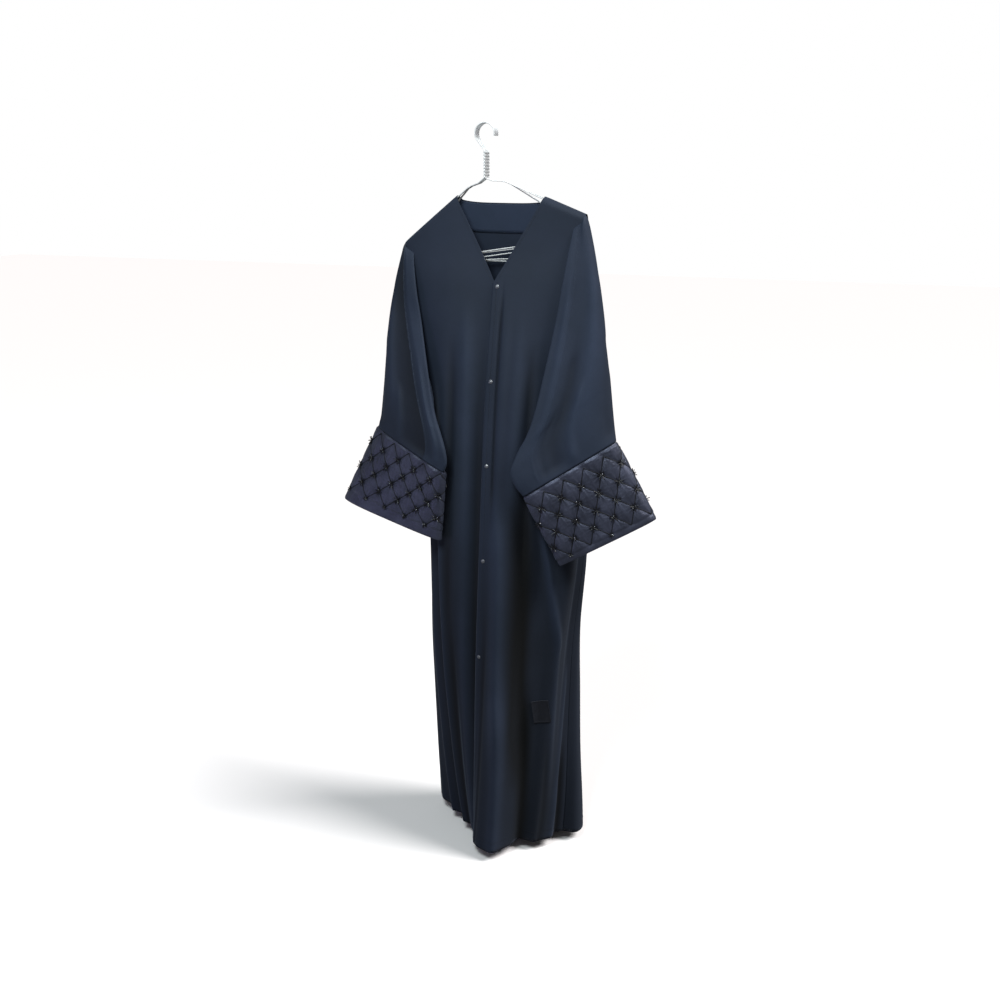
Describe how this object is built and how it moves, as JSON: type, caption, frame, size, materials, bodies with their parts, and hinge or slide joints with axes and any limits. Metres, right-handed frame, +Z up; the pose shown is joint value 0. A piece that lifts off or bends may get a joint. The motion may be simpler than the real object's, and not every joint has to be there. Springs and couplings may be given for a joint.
{
  "type": "abaya cloak on wire hangers",
  "caption": "Full-length open-front abaya cloak with a V neck, wide sleeves, diamond-quilted cuffs and snap closing, hanging on bunched wire hangers.",
  "frame": {"origin": "top of the inside of the bunched hooks, where a rail carries them, midway through the bunch", "axes": "+Z up along the hanging direction, the cloak's front faces -Y, +X to the right of a viewer in front"},
  "size_m": [0.7069, 0.2912, 1.5621],
  "materials": {
    "black_crepe": "matt crepe with a slight sheen",
    "cuff_taffeta": "puffed taffeta over a diamond lattice of cord",
    "snap_cap": "pearly grey",
    "label_cloth": "bare close weave",
    "white_wire": "white enamel on steel wire"
  },
  "bodies": {
    "root": {"front_right": "black_crepe", "front_left": "black_crepe", "back": "black_crepe", "sleeve_right": "black_crepe", "sleeve_left": "black_crepe", "back_neck_facing": "black_crepe", "cuff_right": "cuff_taffeta", "cuff_left": "cuff_taffeta", "snap_1": "snap_cap", "snap_2": "snap_cap", "snap_3": "snap_cap", "snap_4": "snap_cap", "snap_5": "snap_cap", "label": "label_cloth", "hanger_1": "white_wire", "hanger_2": "white_wire", "hanger_3": "white_wire", "hanger_4": "white_wire", "hanger_5": "white_wire"}
  },
  "joints": []
}
